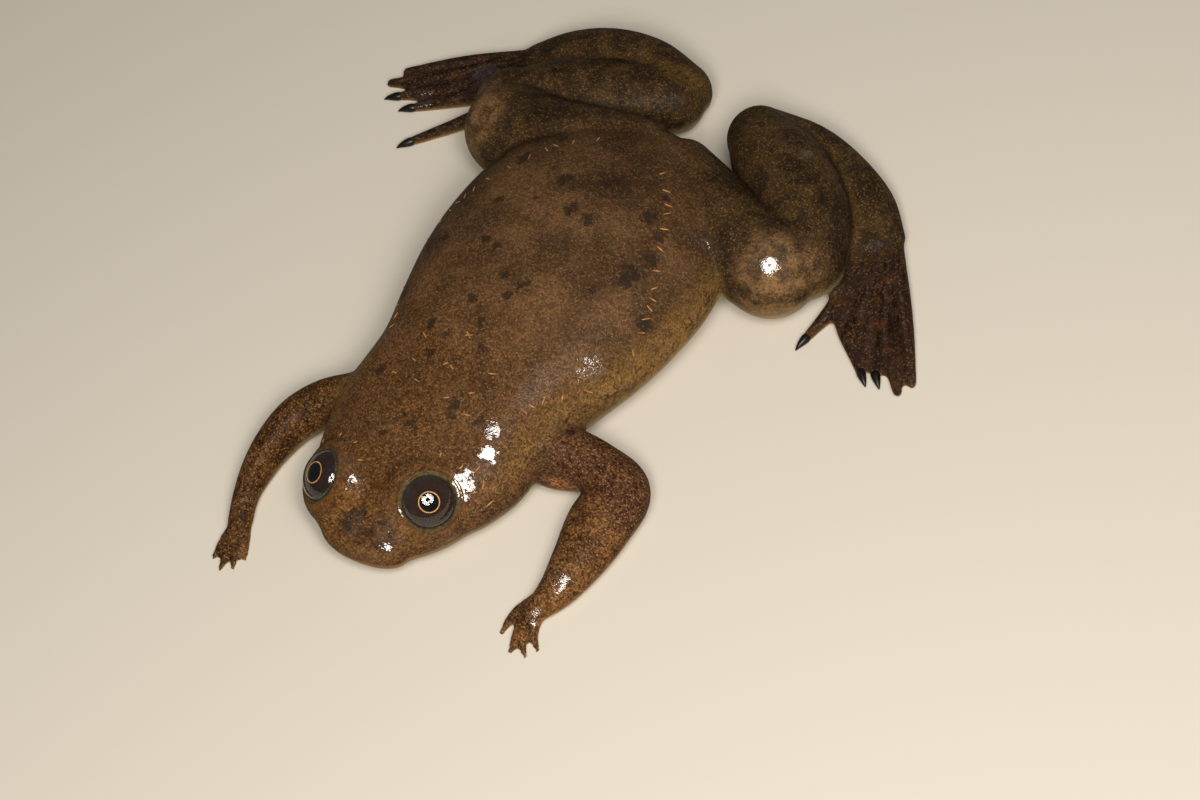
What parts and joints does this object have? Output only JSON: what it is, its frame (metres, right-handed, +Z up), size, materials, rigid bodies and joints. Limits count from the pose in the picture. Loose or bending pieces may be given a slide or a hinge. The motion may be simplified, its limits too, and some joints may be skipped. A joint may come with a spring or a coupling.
{
  "type": "african clawed frog figure",
  "caption": "Life-size still frog lying on its belly, hind legs folded, forelimbs forward, smooth flattened body, upward-looking eyes, webbed clawed hind feet.",
  "frame": {"origin": "on the floor, on the flat of the belly under the middle of the body", "axes": "+Z up from the floor, -Y towards the snout, +X towards the frog's left"},
  "size_m": [0.1034, 0.1061, 0.0203],
  "materials": {
    "skin_back": "wet glossy skin, olive brown with dark flecks",
    "skin_limb": "wet glossy skin, reddish dark brown with dark blotches",
    "eye": "clear wet cornea over a dark brown iris with a thin gold ring round a round black pupil",
    "claw": "black horn"
  },
  "bodies": {
    "root": {"head": "skin_back", "torso": "skin_back", "eye_left": "eye", "eye_right": "eye", "upper_arm_left": "skin_limb", "forearm_left": "skin_limb", "hand_left": "skin_limb", "upper_arm_right": "skin_limb", "forearm_right": "skin_limb", "hand_right": "skin_limb", "thigh_left": "skin_limb", "shank_left": "skin_limb", "tarsus_left": "skin_limb", "foot_left": "skin_limb", "thigh_right": "skin_limb", "shank_right": "skin_limb", "tarsus_right": "skin_limb", "foot_right": "skin_limb", "claw_left_1": "claw", "claw_left_2": "claw", "claw_left_3": "claw", "claw_right_1": "claw", "claw_right_2": "claw", "claw_right_3": "claw"}
  },
  "joints": []
}
